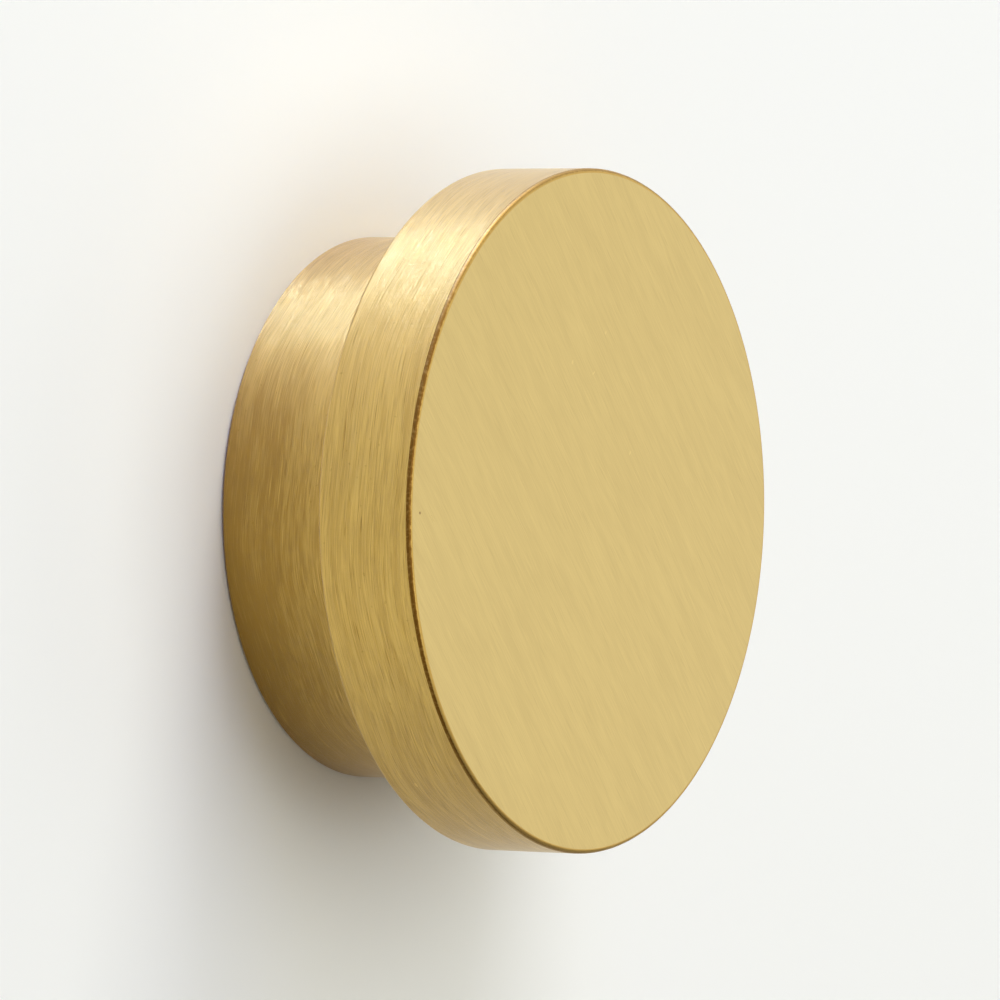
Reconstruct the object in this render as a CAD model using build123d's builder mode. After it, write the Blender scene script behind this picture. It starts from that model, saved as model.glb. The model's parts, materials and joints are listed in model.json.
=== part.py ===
from build123d import *
from math import radians, tan
import os

# Round cabinet knob, turned from one bar of brass: a flat disc head on a narrower base.
# It is drawn as it sits on an upright door. The door's face is the plane y = 0, the knob stands
# out of it towards -Y with +Z up, and the origin is the centre of the knob's back.

# Driving dimensions, in millimetres and degrees
head_diameter = 45.0
head_thickness = 7.0
lip_overhang = 4.5  # how far the head stands out past the base, all round
base_length = 10.5  # finger room between the door and the underside of the head
face_edge_radius = 0.3  # round-over between the flat face and the rim
lip_edge_radius = 0.3  # round-over between the rim and the underside of the head
neck_corner_radius = 0.6  # left by the nose of the turning tool, where the base meets the head
back_edge_chamfer = 0.3
tap_drill_diameter = 3.3  # for an M4 screw
hole_mouth_diameter = 4.3
hole_mouth_angle = 90.0
drill_point_angle = 118.0
front_wall = 7.0  # brass left between the drill's tip and the face

# Sizes that follow from them
head_radius = head_diameter / 2
base_radius = head_radius - lip_overhang
projection = base_length + head_thickness
hole_radius = tap_drill_diameter / 2
drill_point_length = hole_radius / tan(radians(drill_point_angle / 2))
hole_depth = projection - front_wall - drill_point_length

with BuildPart() as knob:
    # Blank: half of the turned section, revolved about the axis
    with BuildSketch(Plane.XY):
        with BuildLine():
            Polyline(
                (0, 0),
                (base_radius, 0),
                (base_radius, -base_length),
                (head_radius, -base_length),
                (head_radius, -projection),
                (0, -projection),
                close=True,
            )
        make_face()
    revolve(axis=Axis.Y)

    # Edges: the section's corners are rings, grouped here from the face to the back
    face_rings, step_rings, back_rings = knob.edges().filter_by(GeomType.CIRCLE).group_by(Axis.Y)
    neck_ring, lip_ring = step_rings.sort_by(SortBy.RADIUS)
    fillet(face_rings, radius=face_edge_radius)
    fillet(lip_ring, radius=lip_edge_radius)
    fillet(neck_ring, radius=neck_corner_radius)
    chamfer(back_rings, length=back_edge_chamfer)

    # Screw hole: drilled from the back, with a countersunk mouth and a drill point
    with Locations(Plane.ZX):
        CounterSinkHole(
            radius=hole_radius,
            counter_sink_radius=hole_mouth_diameter / 2,
            depth=hole_depth,
            counter_sink_angle=hole_mouth_angle,
        )
    with Locations(Plane.ZX.offset(-hole_depth)):
        Cone(
            bottom_radius=hole_radius,
            top_radius=0,
            height=drill_point_length,
            rotation=(180, 0, 0),
            align=(Align.CENTER, Align.CENTER, Align.MIN),
            mode=Mode.SUBTRACT,
        )

knob.part.label = "knob"

os.makedirs("parts", exist_ok=True)
export_step(knob.part, "parts/knob.step")
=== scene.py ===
import json
import math

import bmesh
import bpy
from mathutils import Matrix, Vector


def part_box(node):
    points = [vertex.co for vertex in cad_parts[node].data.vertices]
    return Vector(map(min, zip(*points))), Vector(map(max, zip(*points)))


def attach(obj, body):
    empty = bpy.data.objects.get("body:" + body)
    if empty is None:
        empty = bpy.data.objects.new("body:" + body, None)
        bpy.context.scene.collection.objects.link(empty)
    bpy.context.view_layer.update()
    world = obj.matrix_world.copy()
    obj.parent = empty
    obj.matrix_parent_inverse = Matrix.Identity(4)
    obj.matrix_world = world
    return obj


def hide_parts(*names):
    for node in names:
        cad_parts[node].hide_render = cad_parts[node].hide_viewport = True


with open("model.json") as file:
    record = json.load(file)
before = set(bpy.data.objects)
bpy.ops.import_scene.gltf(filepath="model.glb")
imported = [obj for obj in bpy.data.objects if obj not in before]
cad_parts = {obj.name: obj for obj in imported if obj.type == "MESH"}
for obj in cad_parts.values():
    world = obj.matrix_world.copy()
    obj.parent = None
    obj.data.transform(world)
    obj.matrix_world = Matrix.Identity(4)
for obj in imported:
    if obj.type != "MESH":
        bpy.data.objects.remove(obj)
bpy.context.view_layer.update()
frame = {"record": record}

MM = 0.001

# Sizes of the turned section, in metres, from the frame and its record where they hold them
knob_low, knob_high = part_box("knob")
screw_hole = next(m for m in frame["record"]["mounts"] if m["name"] == "screw_hole")
HEAD_RADIUS = knob_high.x
PROJECTION = -knob_low.y
HEAD_THICKNESS = 7.0 * MM
BASE_LENGTH = PROJECTION - HEAD_THICKNESS
LIP_OVERHANG = 4.5 * MM
BASE_RADIUS = HEAD_RADIUS - LIP_OVERHANG
FACE_EDGE = 0.3 * MM
LIP_EDGE = 0.3 * MM
NECK_CORNER = 0.6 * MM
BACK_CHAMFER = 0.3 * MM
HOLE_RADIUS = screw_hole["dims"]["r_mm"] * MM
MOUTH_RADIUS = 2.15 * MM
MOUTH_DEPTH = MOUTH_RADIUS - HOLE_RADIUS
HOLE_DEPTH = MOUTH_DEPTH + screw_hole["dims"]["length_mm"] * MM
DRILL_POINT_ANGLE = math.radians(118)
DRILL_POINT = HOLE_RADIUS / math.tan(DRILL_POINT_ANGLE / 2)
THREAD_PITCH = 0.7 * MM
THREAD_MAJOR_RADIUS = 2.0 * MM
THREAD_END = 8.2 * MM
EDGE_BAND = 0.25 * MM  # narrow ring of mesh beside each rounded edge, which keeps flats and barrels true

# Camera of the photograph, fitted to the knob's outlines
IMAGE_SIDE = 1000
VIEW_AZIMUTH = math.radians(-58.11)
VIEW_ELEVATION = math.radians(1.64)
VIEW_DISTANCE = 557.3 * MM
PIXELS_PER_HEAD_RADIUS = 339.9
KNOB_CENTRE_PIXEL = (480.9, 509.0)
SENSOR_WIDTH = 36.0


class Wire:
    """An output socket of a node tree. Python's operators on it add Math nodes."""

    def __init__(self, bench, socket):
        self.bench = bench
        self.socket = socket

    def out(self, name):
        return Wire(self.bench, self.socket.node.outputs[name])

    def math(self, operation, *terms):
        return self.bench.math(operation, self, *terms)

    def __add__(self, other):
        return self.bench.math("ADD", self, other)

    def __radd__(self, other):
        return self.bench.math("ADD", other, self)

    def __sub__(self, other):
        return self.bench.math("SUBTRACT", self, other)

    def __rsub__(self, other):
        return self.bench.math("SUBTRACT", other, self)

    def __mul__(self, other):
        return self.bench.math("MULTIPLY", self, other)

    def __rmul__(self, other):
        return self.bench.math("MULTIPLY", other, self)

    def __truediv__(self, other):
        return self.bench.math("DIVIDE", self, other)

    def __rtruediv__(self, other):
        return self.bench.math("DIVIDE", other, self)

    def __neg__(self):
        return self.bench.math("MULTIPLY", self, -1.0)

    def __lt__(self, other):
        return self.bench.math("LESS_THAN", self, other)

    def __gt__(self, other):
        return self.bench.math("GREATER_THAN", self, other)


class Bench:
    """A node tree, to which each node is added with its settings and the values or links of its sockets."""

    def __init__(self, tree):
        self.tree = tree

    def node(self, kind, settings=None, sockets=None, output=0):
        node = self.tree.nodes.new(kind)
        for name, value in (settings or {}).items():
            setattr(node, name, value)
        for name, value in (sockets or {}).items():
            for term in value if isinstance(value, list) else [value]:
                if isinstance(term, Wire):
                    self.tree.links.new(term.socket, node.inputs[name])
                else:
                    node.inputs[name].default_value = term
        return Wire(self, node.outputs[output]) if node.outputs else node

    def math(self, operation, *terms):
        return self.node("ShaderNodeMath", {"operation": operation}, dict(enumerate(terms)))

    def point(self, x, y, z):
        return self.node("ShaderNodeCombineXYZ", None, {"X": x, "Y": y, "Z": z})

    def parts(self, vector):
        split = self.node("ShaderNodeSeparateXYZ", None, {"Vector": vector})
        return split, split.out("Y"), split.out("Z")

    def ramp(self, value, low, high, bottom=0.0, top=1.0):
        """A smooth step: bottom up to low, top from high on."""
        sockets = {"Value": value, "From Min": low, "From Max": high, "To Min": bottom, "To Max": top}
        return self.node("ShaderNodeMapRange", {"interpolation_type": "SMOOTHSTEP"}, sockets)


# Brass

FACE_TINT = (0.750, 0.570, 0.196, 1.0)
FACE_SHADE = (0.220, 0.111, 0.010, 1.0)
BARREL_TINT = (0.760, 0.508, 0.112, 1.0)
# BARREL_SHADE is the dark end of the brush lines and specks, and of the painted shade behind the head and low
# down
BARREL_SHADE = (0.450, 0.255, 0.020, 1.0)
EDGE_TINT = (0.660, 0.430, 0.115, 1.0)
# EDGE_SHADE is the brown of the edge line, partly a real stain and partly painted dark reflection
EDGE_SHADE = (0.225, 0.105, 0.016, 1.0)
FACE_TONE = 0.217  # how far the whole face is from its tint towards its shade
# Contrast of the brush lines' tones, and depth of their relief
FACE_CONTRAST, FACE_RELIEF = 0.09, 0.0012 * MM
BARREL_CONTRAST, BARREL_RELIEF = 0.52, 0.009 * MM
FLAT_CONTRAST, FLAT_RELIEF = 0.65, 0.007 * MM
FACE_ROUGHNESS = 0.26
RING_ROUGHNESS = 0.30
EDGE_ROUGHNESS = 0.45
LACQUER_ROUGHNESS = 0.55
LACQUER_IOR = 1.5
SPECK_SIZE = 0.35 * MM
BURR_SIZE = 0.22 * MM
BURR_RELIEF = 0.012 * MM
BRUSH_ANGLE = math.radians(-49.0)  # of the lines across the face, from level
BRUSH_SWINGS = 9.0  # to and fro, while the brush went once round the knob
BRUSH_SWING = 0.18 * MM
# Small marks on the face: place in x and z, angle from level, length, width, and how dark, or pale below 0
FACE_NICKS = (
    (-21.29 * MM, 0.42 * MM, 0.0, 0.20 * MM, 0.20 * MM, 0.7),
    (-2.69 * MM, 9.80 * MM, 60.0, 0.32 * MM, 0.18 * MM, -0.14),
    (-0.03 * MM, 9.06 * MM, 30.0, 0.45 * MM, 0.14 * MM, -0.14),
    (1.50 * MM, 11.71 * MM, 60.0, 0.28 * MM, 0.18 * MM, -0.14),
    (4.60 * MM, 3.72 * MM, 50.0, 0.36 * MM, 0.18 * MM, -0.14),
)
RIM_NICK = (-14.26 * MM, -12.72 * MM, -17.41 * MM)
RIM_NICK_LENGTH, RIM_NICK_WIDTH, RIM_NICK_TONE = 0.45 * MM, 0.20 * MM, 0.7


def new_material(name):
    material = bpy.data.materials.new(name)
    material.use_nodes = True
    material.node_tree.nodes.clear()
    bench = Bench(material.node_tree)
    place = bench.node("ShaderNodeTexCoord", None, None, "Object")
    return material, bench, bench.parts(place)


def noise(bench, vector, detail=0.0):
    return bench.node("ShaderNodeTexNoise", None, {"Vector": vector, "Scale": 1.0, "Detail": detail})


def lacquered(bench, tint, dark_tint, shade, height, depth, roughness, lacquer=1.0):
    """Lacquered brass: shade takes its tint to the dark one, and height, times depth, is its relief."""
    mix = {"data_type": "RGBA", "clamp_factor": True}
    colour = bench.node("ShaderNodeMix", mix, {0: shade, 6: tint, 7: dark_tint}, 2)
    bump = bench.node("ShaderNodeBump", None, {
        "Strength": 1.0,
        "Distance": depth,
        "Filter Width": 0.02,
        "Height": height,
    })
    shader = bench.node("ShaderNodeBsdfPrincipled", None, {
        "Base Color": colour,
        "Metallic": 1.0,
        "Roughness": roughness,
        "Normal": bump,
        "Coat Weight": lacquer,
        "Coat Roughness": LACQUER_ROUGHNESS,
        "Coat IOR": LACQUER_IOR,
    })
    bench.node("ShaderNodeOutputMaterial", None, {"Surface": shader})


def brushed(bench, grain, contrast, roughness):
    """Brush lines. grain(length, width) gives the coordinates of lines of that size."""
    hair = noise(bench, grain(1.6 * MM, 0.012 * MM))
    stroke = noise(bench, grain(2.6 * MM, 0.09 * MM), 1.0)
    band = noise(bench, grain(9.0 * MM, 0.9 * MM), 2.0)
    scratch = bench.ramp(noise(bench, grain(2.2 * MM, 0.08 * MM)), 0.66, 0.80)
    bright = bench.ramp(noise(bench, grain(3.0 * MM, 0.06 * MM)), 0.68, 0.80)
    height = hair + stroke * 0.5 - scratch * 0.3
    shade = bench.ramp(stroke * 0.6 + band * 0.4, 0.35, 0.65) * contrast + (scratch - bright) * contrast
    return shade, height, roughness + 0.06 * band


def nick(bench, along, across, length, width):
    """1 inside a small mark of that length and width, and 0 outside."""
    far_along = along * (2.0 / length)
    far_across = across * (2.0 / width)
    return bench.ramp((far_along * far_along + far_across * far_across).math("SQRT"), 0.6, 1.2, 1.0, 0.0)


def face_brass():
    """Straight lines brushed across the flat face, which has a few nicks."""
    material, bench, (x, _, z) = new_material("brass_face")
    along = x * math.cos(BRUSH_ANGLE) + z * math.sin(BRUSH_ANGLE)
    across = z * math.cos(BRUSH_ANGLE) - x * math.sin(BRUSH_ANGLE)

    def grain(length, width):
        line = across / width
        return bench.point(along / length + line * 0.37, line, 0.0)

    shade, height, roughness = brushed(bench, grain, FACE_CONTRAST, FACE_ROUGHNESS)
    shade = shade + FACE_TONE
    for nick_x, nick_z, angle, length, width, tone in FACE_NICKS:
        run, rise = math.cos(math.radians(angle)), math.sin(math.radians(angle))
        off_x, off_z = x - nick_x, z - nick_z
        mark = nick(bench, off_x * run + off_z * rise, off_z * run - off_x * rise, length, width)
        shade = shade + mark * tone
    lacquered(bench, FACE_TINT, FACE_SHADE, shade, height, FACE_RELIEF, roughness)
    return material


def ring_brass(name, across_name, depth, contrast):
    """Lines that run round the axis: across is y on the barrel of the rim and base, and the radius on flats.
    Behind the head the base is painted darker as painted shade, most of all low down, and paler towards its top,
    where the sheen falls; the bottom of the rim is painted darker too. The rim has a pale nick and dark specks.
    """
    material, bench, (x, y, z) = new_material(name)
    radius = (x * x + z * z).math("SQRT")
    swing = (z.math("ARCTAN2", x) * BRUSH_SWINGS).math("SINE") * BRUSH_SWING
    across = {"y": y, "radius": radius}[across_name] + swing

    def grain(length, width):
        turns = HEAD_RADIUS / length
        line = across / width
        return bench.point(x / radius * turns + line * 0.31, line, z / radius * turns + line * 0.47)

    shade, height, roughness = brushed(bench, grain, contrast, RING_ROUGHNESS)
    # painted shade: the base behind the head darker low down and paler at its top, and the bottom of the rim
    # darker
    behind_head = bench.ramp(y, -BASE_LENGTH - LIP_EDGE, -BASE_LENGTH * 0.2)
    base_painted_shade = bench.ramp(z, 0.1 * BASE_RADIUS, 0.75 * BASE_RADIUS, 0.80, 0.05)
    rim_painted_shade = bench.ramp(z, -0.95 * HEAD_RADIUS, -0.45 * HEAD_RADIUS, 0.45, 0.0)
    shade = shade + behind_head * base_painted_shade + (1 - behind_head) * rim_painted_shade
    speck = noise(bench, bench.point(x / SPECK_SIZE, y / SPECK_SIZE, z / SPECK_SIZE))
    nick_x, nick_y, nick_z = RIM_NICK
    round_rim = ((x - nick_x) * nick_z - (z - nick_z) * nick_x) / HEAD_RADIUS
    shade = shade + bench.ramp(speck, 0.80, 0.86, 0.0, 0.3)
    mark = nick(bench, round_rim, y - nick_y, RIM_NICK_LENGTH, RIM_NICK_WIDTH)
    shade = shade - mark * RIM_NICK_TONE
    lacquered(bench, BARREL_TINT, BARREL_SHADE, shade, height, depth, roughness)
    return material


def edge_brass():
    """The rounded edge of the face, with small burrs: a brown line beside the rim, partly a real stain and partly
    painted dark reflection. The line keeps further from the face low down, and is painted lighter at the top and
    bottom.
    """
    material, bench, (x, y, z) = new_material("brass_edge")

    burr = noise(bench, bench.point(x / BURR_SIZE, y / BURR_SIZE, z / BURR_SIZE), 1.0)
    # the brown line keeps further from the face low down
    face_gap_low_down = bench.ramp(z, -0.6 * HEAD_RADIUS, 0.0, 0.06 * MM, 0.0)
    from_face = y + PROJECTION - face_gap_low_down + (burr - 0.5) * (0.04 * MM)
    beside_rim = bench.ramp(from_face, 0.01 * MM, 0.05 * MM)
    # the painted dark reflection is made weaker at the top and bottom of the edge
    weaker_at_top = bench.ramp(z, 0.5 * HEAD_RADIUS, 0.8 * HEAD_RADIUS, 1.0, 0.6)
    weaker_at_bottom = bench.ramp(z, -0.95 * HEAD_RADIUS, -0.55 * HEAD_RADIUS, 0.6, 1.0)
    # brown line beside the rim: partly a real stain, partly painted dark reflection
    stain_and_dark_reflection = beside_rim * bench.ramp(burr, 0.25, 0.55, 0.75, 1.0) * (weaker_at_top * weaker_at_bottom)
    roughness = EDGE_ROUGHNESS + 0.08 * stain_and_dark_reflection
    lacquered(bench, EDGE_TINT, EDGE_SHADE, stain_and_dark_reflection, burr, BURR_RELIEF, roughness, lacquer=0.0)
    return material


# The knob

SECTION_SIZES = {
    "Head Radius": HEAD_RADIUS,
    "Base Radius": BASE_RADIUS,
    "Base Length": BASE_LENGTH,
    "Projection": PROJECTION,
    "Face Edge": FACE_EDGE,
    "Lip Edge": LIP_EDGE,
    "Neck Corner": NECK_CORNER,
    "Back Chamfer": BACK_CHAMFER,
    "Edge Band": EDGE_BAND,
    "Hole Radius": HOLE_RADIUS,
    "Hole Depth": HOLE_DEPTH,
    "Mouth Radius": MOUTH_RADIUS,
    "Drill Point": DRILL_POINT,
    "Thread Pitch": THREAD_PITCH,
    "Thread Major Radius": THREAD_MAJOR_RADIUS,
    "Thread End": THREAD_END,
}
SEGMENTS = 384  # round the axis, enough to keep flats out of the sheen
ARC_POINTS = 8  # on each rounded corner
WALL_CUTS = 150  # along the threaded wall
JOIN_DISTANCE = 0.0002 * MM
SMOOTH_ANGLE = math.radians(25)  # edges that turn less are shaded smooth


def knob_section(bench, size):
    """Half section as a curve in x and y, from the drill's tip round the outside to the face's centre."""
    mouth_depth = size["Mouth Radius"] - size["Hole Radius"]
    head, base, band = size["Head Radius"], size["Base Radius"], size["Edge Band"]
    neck, lip, edge = size["Neck Corner"], size["Lip Edge"], size["Face Edge"]
    under, face = -size["Base Length"], -size["Projection"]
    corners = [
        (0.0, -(size["Hole Depth"] + size["Drill Point"]), 0.0),
        (size["Hole Radius"], -size["Hole Depth"], 0.0),
        (size["Hole Radius"], -mouth_depth, 0.0),
        (size["Mouth Radius"], 0.0, 0.0),
        (base - size["Back Chamfer"], 0.0, 0.0),
        (base, -size["Back Chamfer"], 0.0),
        (base, under + neck + band, 0.0),
        (base, under, neck),
        (base + neck + band, under, 0.0),
        (head - lip - band, under, 0.0),
        (head, under, lip),
        (head, under - lip - band, 0.0),
        (head, face + edge + band, 0.0),
        (head, face, edge),
        (head - edge - band, face, 0.0),
        (0.0, face, 0.0),
    ]
    index = bench.node("GeometryNodeInputIndex")

    def chosen(kind, values):
        switch = bench.tree.nodes.new("GeometryNodeIndexSwitch")
        switch.data_type = kind
        while len(switch.index_switch_items) < len(values):
            switch.index_switch_items.new()
        bench.tree.links.new(index.socket, switch.inputs[0])
        for k, value in enumerate(values):
            if isinstance(value, Wire):
                bench.tree.links.new(value.socket, switch.inputs[k + 1])
            else:
                switch.inputs[k + 1].default_value = value
        return Wire(bench, switch.outputs[0])

    places = chosen("VECTOR", [bench.point(x, y, 0.0) for x, y, radius in corners])
    radii = chosen("FLOAT", [radius for x, y, radius in corners])
    line = bench.node("GeometryNodeMeshLine", None, {"Count": len(corners)})
    line = bench.node("GeometryNodeSetPosition", None, {"Geometry": line, "Position": places})
    curve = bench.node("GeometryNodeMeshToCurve", None, {"Mesh": line})
    curve = bench.node("GeometryNodeFilletCurve", {"mode": "POLY"}, {
        "Curve": curve,
        "Count": ARC_POINTS,
        "Radius": radii,
    })
    x, y, _ = bench.parts(bench.node("GeometryNodeInputPosition"))
    at_wall = (x < size["Hole Radius"] * 1.0001) * (y < -size["Hole Depth"] * 0.9999)
    at_wall = at_wall * (x > size["Hole Radius"] * 0.9999)
    return bench.node("GeometryNodeSubdivideCurve", None, {"Curve": curve, "Cuts": at_wall * WALL_CUTS})


def revolved(bench, section):
    """The section turned about the y axis, as a closed mesh."""
    rows = bench.node("GeometryNodeAttributeDomainSize", {"component": "CURVE"}, {"Geometry": section})
    grid = bench.node("GeometryNodeMeshGrid", None, {"Vertices X": SEGMENTS + 1, "Vertices Y": rows})
    index = bench.node("GeometryNodeInputIndex")
    step = (index / rows).math("FLOOR")
    sample = {"data_type": "FLOAT_VECTOR", "domain": "POINT"}
    position = bench.node("GeometryNodeInputPosition")
    row = {"Geometry": section, "Value": position, "Index": index - step * rows}
    radius, height, _ = bench.parts(bench.node("GeometryNodeSampleIndex", sample, row))
    turn = step * (math.tau / SEGMENTS)
    place = bench.point(radius * turn.math("COSINE"), height, radius * turn.math("SINE"))
    mesh = bench.node("GeometryNodeSetPosition", None, {"Geometry": grid, "Position": place})
    return bench.node("GeometryNodeMergeByDistance", None, {"Geometry": mesh, "Distance": JOIN_DISTANCE})


def threaded(bench, mesh, size):
    """Pushes the hole's wall out into the grooves of its thread, which fades at its inner end."""
    x, y, z = bench.parts(bench.node("GeometryNodeInputPosition"))
    radius = (x * x + z * z).math("SQRT")
    turn = z.math("ARCTAN2", x) / math.tau
    groove = ((y / size["Thread Pitch"] + turn).math("FRACT") * 2.0 - 1.0).math("ABSOLUTE")
    groove = bench.ramp(groove, 0.12, 0.88)
    fade = bench.ramp(-y, size["Thread End"] - size["Thread Pitch"], size["Thread End"], 1.0, 0.0)
    wall = size["Hole Radius"]
    cut = wall + (size["Thread Major Radius"] - wall) * groove * fade
    wider = radius.math("MAXIMUM", cut) / radius
    on_wall = (radius < size["Mouth Radius"] * 0.999) * (radius > wall * 0.999)
    place = bench.point(x * wider, y, z * wider)
    sockets = {"Geometry": mesh, "Selection": on_wall, "Position": place}
    return bench.node("GeometryNodeSetPosition", None, sockets)


def knob_tree():
    """Geometry Nodes tree of the knob, with its sizes and materials as named inputs."""
    tree = bpy.data.node_groups.new("turned_knob", "GeometryNodeTree")
    bench = Bench(tree)
    sockets = {}
    for name in SECTION_SIZES:
        sockets[name] = tree.interface.new_socket(name=name, in_out="INPUT", socket_type="NodeSocketFloat")
    for name in ("Barrel Brass", "Face Brass", "Flat Brass", "Edge Brass"):
        sockets[name] = tree.interface.new_socket(name=name, in_out="INPUT", socket_type="NodeSocketMaterial")
    tree.interface.new_socket(name="Geometry", in_out="OUTPUT", socket_type="NodeSocketGeometry")
    given = bench.node("NodeGroupInput")
    size = {name: given.out(name) for name in sockets}

    mesh = threaded(bench, revolved(bench, knob_section(bench, size)), size)
    edge_angle = bench.node("GeometryNodeInputMeshEdgeAngle")
    mesh = bench.node("GeometryNodeSetShadeSmooth", {"domain": "EDGE"}, {
        "Geometry": mesh,
        "Shade Smooth": edge_angle < SMOOTH_ANGLE,
    })
    mesh = bench.node("GeometryNodeRealizeInstances", None, {"Geometry": mesh})
    mesh = bench.node("GeometryNodeSetMaterial", None, {"Geometry": mesh, "Material": size["Barrel Brass"]})
    facing = bench.parts(bench.node("GeometryNodeInputNormal"))[1]
    for name, chosen in (
        ("Edge Brass", facing < -0.01),
        ("Face Brass", facing < -0.9999),
        ("Flat Brass", facing > 0.9999),
    ):
        mesh = bench.node("GeometryNodeSetMaterial", None, {
            "Geometry": mesh,
            "Selection": chosen,
            "Material": size[name],
        })
    bench.node("NodeGroupOutput", None, {"Geometry": mesh})
    return tree, sockets


def face_outwards(mesh):
    cleaned = bmesh.new()
    cleaned.from_mesh(mesh)
    bmesh.ops.recalc_face_normals(cleaned, faces=cleaned.faces)
    cleaned.to_mesh(mesh)
    cleaned.free()


def make_knob():
    knob = bpy.data.objects.new("brushed_knob", bpy.data.meshes.new("brushed_knob"))
    bpy.context.scene.collection.objects.link(knob)
    tree, sockets = knob_tree()
    modifier = knob.modifiers.new("turned_knob", "NODES")
    modifier.node_group = tree
    values = dict(SECTION_SIZES)
    values["Barrel Brass"] = ring_brass("brass_barrel", "y", BARREL_RELIEF, BARREL_CONTRAST)
    values["Face Brass"] = face_brass()
    values["Flat Brass"] = ring_brass("brass_flat", "radius", FLAT_RELIEF, FLAT_CONTRAST)
    values["Edge Brass"] = edge_brass()
    for name, value in values.items():
        modifier[sockets[name].identifier] = value
    bpy.context.view_layer.update()
    depsgraph = bpy.context.evaluated_depsgraph_get()
    made = bpy.data.meshes.new_from_object(knob.evaluated_get(depsgraph))
    knob.modifiers.clear()
    knob.data = made
    face_outwards(made)
    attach(knob, "root")
    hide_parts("knob")


# The stage: an upright white wall behind the knob, and soft lamps

WALL_PLANE = -0.05 * MM  # just inside the chamfer of the knob's back
WALL_HOLE_RADIUS = BASE_RADIUS - 1.0 * MM
WALL_RADIUS = 1.6
WALL_SEGMENTS = 96
WALL_COLOUR = (0.95, 0.96, 0.93, 1.0)
BACKDROP_COLOUR = (0.93, 0.93, 0.92, 1.0)


def wall_paint():
    """White paint. From behind, the wall lets the view through, so that the knob's back can be seen."""
    material, bench, _ = new_material("wall_paint")
    paint = bench.node("ShaderNodeBsdfPrincipled", None, {
        "Base Color": WALL_COLOUR,
        "Roughness": 0.9,
        "Specular IOR Level": 0.1,
    })
    clear = bench.node("ShaderNodeBsdfTransparent")
    behind = bench.node("ShaderNodeNewGeometry", None, None, "Backfacing")
    path = bench.node("ShaderNodeLightPath", None, None, "Is Camera Ray")
    seen = path.math("MAXIMUM", path.out("Is Glossy Ray")).math("MAXIMUM", path.out("Is Transmission Ray"))
    wall = bench.node("ShaderNodeMixShader", None, {0: behind * seen, 1: paint, 2: clear})
    bench.node("ShaderNodeOutputMaterial", None, {"Surface": wall})
    return material


def make_wall():
    sheet = bmesh.new()
    rings = []
    for radius in (WALL_HOLE_RADIUS, WALL_RADIUS):
        ring = []
        for k in range(WALL_SEGMENTS):
            turn = math.tau * k / WALL_SEGMENTS
            ring.append(sheet.verts.new((radius * math.cos(turn), WALL_PLANE, radius * math.sin(turn))))
        rings.append(ring)
    inner, outer = rings
    for k in range(WALL_SEGMENTS):
        after = (k + 1) % WALL_SEGMENTS
        sheet.faces.new((inner[k], outer[k], outer[after], inner[after]))
    mesh = bpy.data.meshes.new("wall")
    sheet.to_mesh(mesh)
    sheet.free()
    mesh.materials.append(wall_paint())
    wall = bpy.data.objects.new("wall", mesh)
    bpy.context.scene.collection.objects.link(wall)


def softbox(name, place, width, height, radiance, tint):
    """A rectangular lamp that faces the knob, with its width along the wall as far as that allows.
    Radiance 1 looks as bright as a white sheet.
    """
    lamp = bpy.data.lights.new(name, "AREA")
    lamp.shape = "RECTANGLE"
    lamp.size = width
    lamp.size_y = height
    lamp.energy = radiance * math.pi * width * height
    lamp.color = tint
    holder = bpy.data.objects.new(name, lamp)
    back = Vector(place).normalized()
    side = (Vector((1.0, 0.0, 0.0)) - back * back.x).normalized()
    holder.location = place
    holder.rotation_euler = Matrix((side, back.cross(side), back)).transposed().to_euler()
    bpy.context.scene.collection.objects.link(holder)


DAYLIGHT = (0.56, 0.95, 3.60)
LAMPLIGHT = (1.00, 0.995, 0.945)
FLOOR_GLOW = (1.00, 0.95, 0.86)
# Softboxes: name, place, width, height, radiance and tint
SOFTBOXES = (
    ("strip_overhead", (-0.09, -0.04, 1.00), 0.66, 0.08, 31.0, DAYLIGHT),
    ("strip_end", (-0.42, -0.04, 0.92), 0.16, 0.08, 15.0, LAMPLIGHT),
    ("key_overhead", (0.12, -0.40, 1.00), 0.50, 0.40, 10.8, LAMPLIGHT),
    ("panel_right", (0.95, -0.58, 0.0), 0.75, 0.75, 1.10, LAMPLIGHT),
    ("panel_upper_right", (0.92, -0.25, 0.62), 0.7, 0.7, 0.7, LAMPLIGHT),
    ("panel_lower_left", (-0.70, -0.70, -0.46), 0.8, 0.8, 0.45, LAMPLIGHT),
    ("panel_front", (-0.15, -1.20, 0.15), 1.6, 1.4, 1.44, LAMPLIGHT),
    ("panel_behind", (0.75, 0.80, -0.20), 1.0, 1.0, 1.0, LAMPLIGHT),
)


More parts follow.
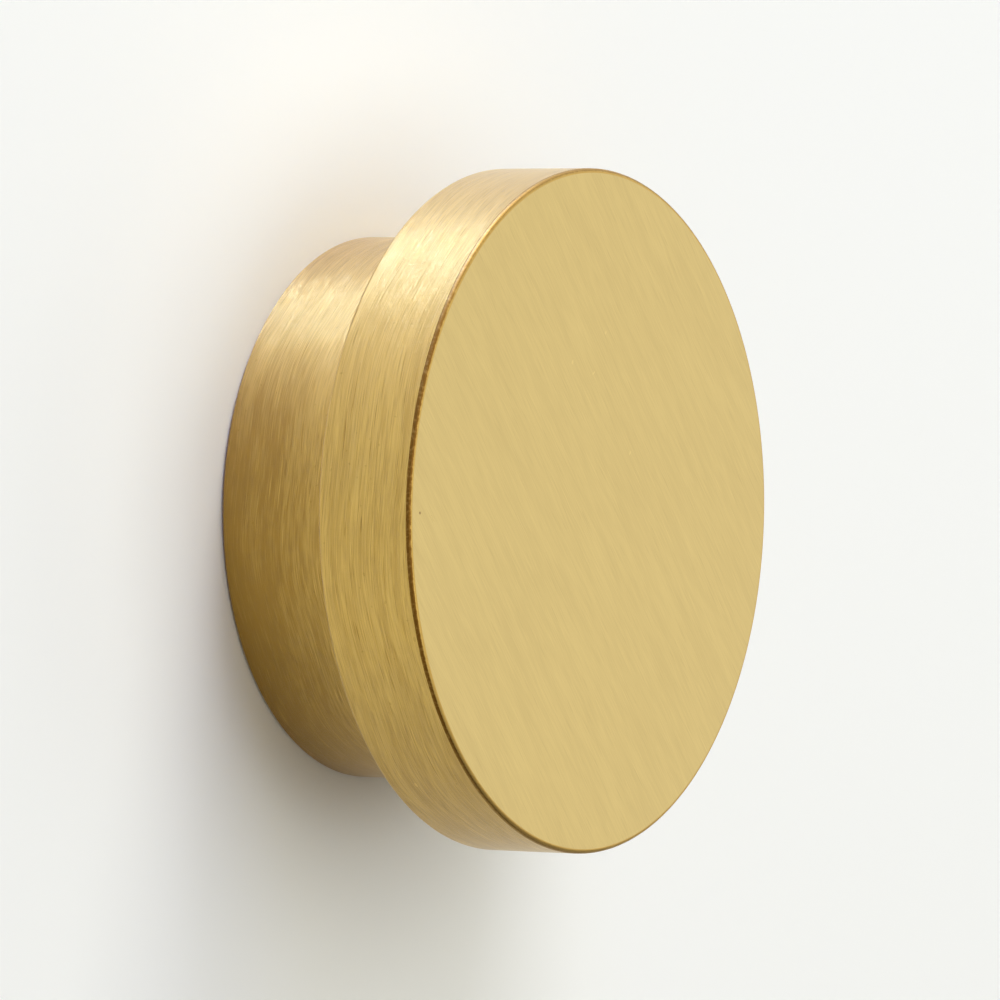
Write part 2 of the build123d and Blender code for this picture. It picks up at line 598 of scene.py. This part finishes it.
def light_studio():
    for lamp in SOFTBOXES:
        softbox(*lamp)
    world = bpy.data.worlds.new("studio")
    world.use_nodes = True
    world.node_tree.nodes.clear()
    bench = Bench(world.node_tree)
    _, out, up = bench.parts(bench.node("ShaderNodeTexCoord", None, None, "Generated"))
    floor = bench.ramp(up, -0.45, -0.02, 0.21, 0.07) - bench.ramp(up, -0.95, -0.55, 0.14, 0.0)
    ceiling = bench.ramp(up, 0.15, 0.7, 0.0, 0.22)
    below = bench.node("ShaderNodeBackground", None, {"Color": FLOOR_GLOW + (1.0,), "Strength": floor})
    behind = bench.ramp(out, 0.1, 0.5, 0.0, 0.4)
    above = bench.node("ShaderNodeBackground", None, {"Color": LAMPLIGHT + (1.0,), "Strength": ceiling + behind})
    room = bench.node("ShaderNodeAddShader", None, {0: below, 1: above})
    white = bench.node("ShaderNodeBackground", None, {"Color": BACKDROP_COLOUR})
    seen = bench.node("ShaderNodeLightPath", None, None, "Is Camera Ray")
    sky = bench.node("ShaderNodeMixShader", None, {0: seen, 1: room, 2: white})
    bench.node("ShaderNodeOutputWorld", None, {"Surface": sky})
    bpy.context.scene.world = world


def place_camera():
    """Aims the camera so that the middle of the knob falls on its pixel in the photograph."""
    back = Vector((
        math.sin(VIEW_AZIMUTH) * math.cos(VIEW_ELEVATION),
        -math.cos(VIEW_AZIMUTH) * math.cos(VIEW_ELEVATION),
        math.sin(VIEW_ELEVATION),
    ))
    right = Vector((math.cos(VIEW_AZIMUTH), math.sin(VIEW_AZIMUTH), 0.0))
    up = back.cross(right)
    pixel = HEAD_RADIUS / PIXELS_PER_HEAD_RADIUS
    aim = Vector((0.0, -PROJECTION / 2, 0.0))
    aim += right * (IMAGE_SIDE / 2 - KNOB_CENTRE_PIXEL[0]) * pixel
    aim -= up * (IMAGE_SIDE / 2 - KNOB_CENTRE_PIXEL[1]) * pixel
    camera = bpy.data.cameras.new("camera")
    camera.sensor_width = SENSOR_WIDTH
    camera.lens = SENSOR_WIDTH * VIEW_DISTANCE / (pixel * IMAGE_SIDE)
    camera.clip_start = 0.01
    camera.clip_end = 10.0
    holder = bpy.data.objects.new("camera", camera)
    holder.location = aim + back * VIEW_DISTANCE
    holder.rotation_mode = "QUATERNION"
    holder.rotation_quaternion = (-back).to_track_quat("-Z", "Y")
    bpy.context.scene.collection.objects.link(holder)
    bpy.context.scene.camera = holder


make_knob()
make_wall()
light_studio()
place_camera()
bpy.context.scene.view_settings.view_transform = "Standard"
